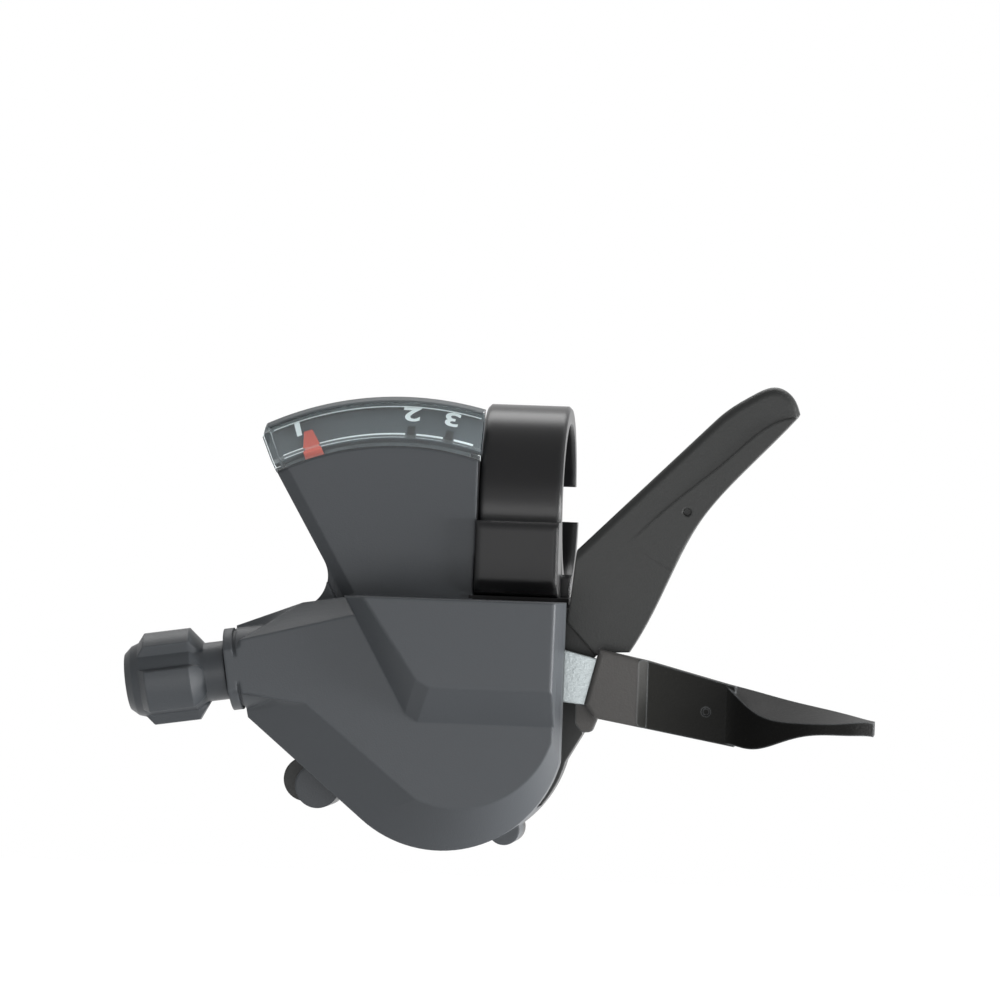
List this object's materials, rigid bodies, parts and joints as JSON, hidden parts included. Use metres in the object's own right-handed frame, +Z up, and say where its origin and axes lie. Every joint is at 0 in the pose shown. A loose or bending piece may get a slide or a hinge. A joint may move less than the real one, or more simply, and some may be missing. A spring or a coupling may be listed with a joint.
{
  "type": "trigger gear shifter",
  "caption": "Left-hand trigger gear shifter: handlebar clamp band, moulded pod with a clear gear display, thumb lever, release lever, ratchet with pawls, cable reel and lobed cable adjuster.",
  "frame": {"origin": "on the handlebar's axis, in the middle of the clamp band's width", "axes": "+X along the bar towards the grip, +Z up, -Y to the front, where the pod and its display face"},
  "size_m": [0.1033, 0.0565, 0.0652],
  "materials": {
    "cover_grey": "satin moulded plastic, dark blue-grey",
    "black_plastic": "fine-grained moulded plastic, black",
    "clamp_black": "satin black coating",
    "bolt_black": "black oxide",
    "zinc_plate": "bright zinc plate",
    "steel": "plain steel",
    "spring_steel": "spring steel",
    "reel_plastic": "moulded plastic, dark grey",
    "clear_plastic": "clear polished plastic",
    "dial_black": "printed plastic, near black",
    "needle_red": "red"
  },
  "bodies": {
    "base": {"front_cover": "cover_grey", "rear_cover": "black_plastic", "cover_screws": "steel", "base_plate": "steel", "clamp_band": "clamp_black", "clamp_bolt": "bolt_black", "foot_screws": "steel", "main_axle": "steel", "axle_clip": "steel", "axle_washers": "steel", "holding_pawl_pin": "steel", "needle_pivot": "steel", "indicator_window": "clear_plastic", "indicator_dial": "dial_black", "indicator_back": "dial_black", "holding_pawl_spring": "spring_steel", "release_lever_spring": "spring_steel", "main_lever_spring": "spring_steel"},
    "main_lever": {"main_lever_plate": "zinc_plate", "lever_paddle": "black_plastic", "feed_pawl_pin": "steel", "feed_pawl_spring": "spring_steel"},
    "feed_pawl": {"feed_pawl": "steel"},
    "release_lever": {"release_lever": "black_plastic"},
    "holding_pawl": {"holding_pawl": "steel"},
    "cable_reel": {"cable_reel": "reel_plastic", "ratchet_plate": "steel", "indicator_drive_pin": "steel"},
    "indicator_needle": {"indicator_needle": "needle_red"},
    "adjuster": {"adjuster_barrel": "black_plastic"}
  },
  "joints": [
    {"name": "main_lever_turn", "type": "hinge", "parent": "base", "child": "main_lever", "pos_m": [-0.0085, -0.021, -0.0317], "axis": [0, 1, 0], "range_deg": [0, 44], "stiffness_Nm_per_rad": 0.04, "springref_deg": -28.65, "deforming": ["main_lever_spring"]},
    {"name": "feed_pawl_turn", "type": "hinge", "parent": "main_lever", "child": "feed_pawl", "pos_m": [-0.00963, -0.0235, -0.01875], "axis": [0, 1, 0], "range_deg": [0, 8.4], "stiffness_Nm_per_rad": 0.002, "springref_deg": -17.19, "deforming": ["feed_pawl_spring"]},
    {"name": "release_lever_turn", "type": "hinge", "parent": "base", "child": "release_lever", "pos_m": [-0.0085, -0.0175, -0.0317], "axis": [0, -1, 0], "range_deg": [0, 14], "stiffness_Nm_per_rad": 0.06, "springref_deg": -22.92, "deforming": ["release_lever_spring"]},
    {"name": "holding_pawl_turn", "type": "hinge", "parent": "base", "child": "holding_pawl", "pos_m": [-0.02278, -0.0233, -0.02918], "axis": [0, -1, 0], "range_deg": [0, 9.6], "deforming": ["holding_pawl_spring"]},
    {"name": "cable_reel_turn", "type": "hinge", "parent": "base", "child": "cable_reel", "pos_m": [-0.0085, -0.025, -0.0317], "axis": [0, 1, 0], "range_deg": [0, 60]},
    {"name": "needle_turn", "type": "hinge", "parent": "base", "child": "indicator_needle", "pos_m": [-0.0167, -0.01335, -0.0313], "axis": [0, 1, 0], "range_deg": [0, 26.7]},
    {"name": "adjuster_turn", "type": "hinge", "parent": "base", "child": "adjuster", "pos_m": [-0.03818, -0.02605, -0.0246], "axis": [-0.9877, 0, -0.1564], "continuous": true}
  ],
  "couplings": [
    {"joint": "holding_pawl_turn", "follows": "release_lever_turn", "ratio": 0.68},
    {"joint": "needle_turn", "follows": "cable_reel_turn", "ratio": 0.44333}
  ]
}
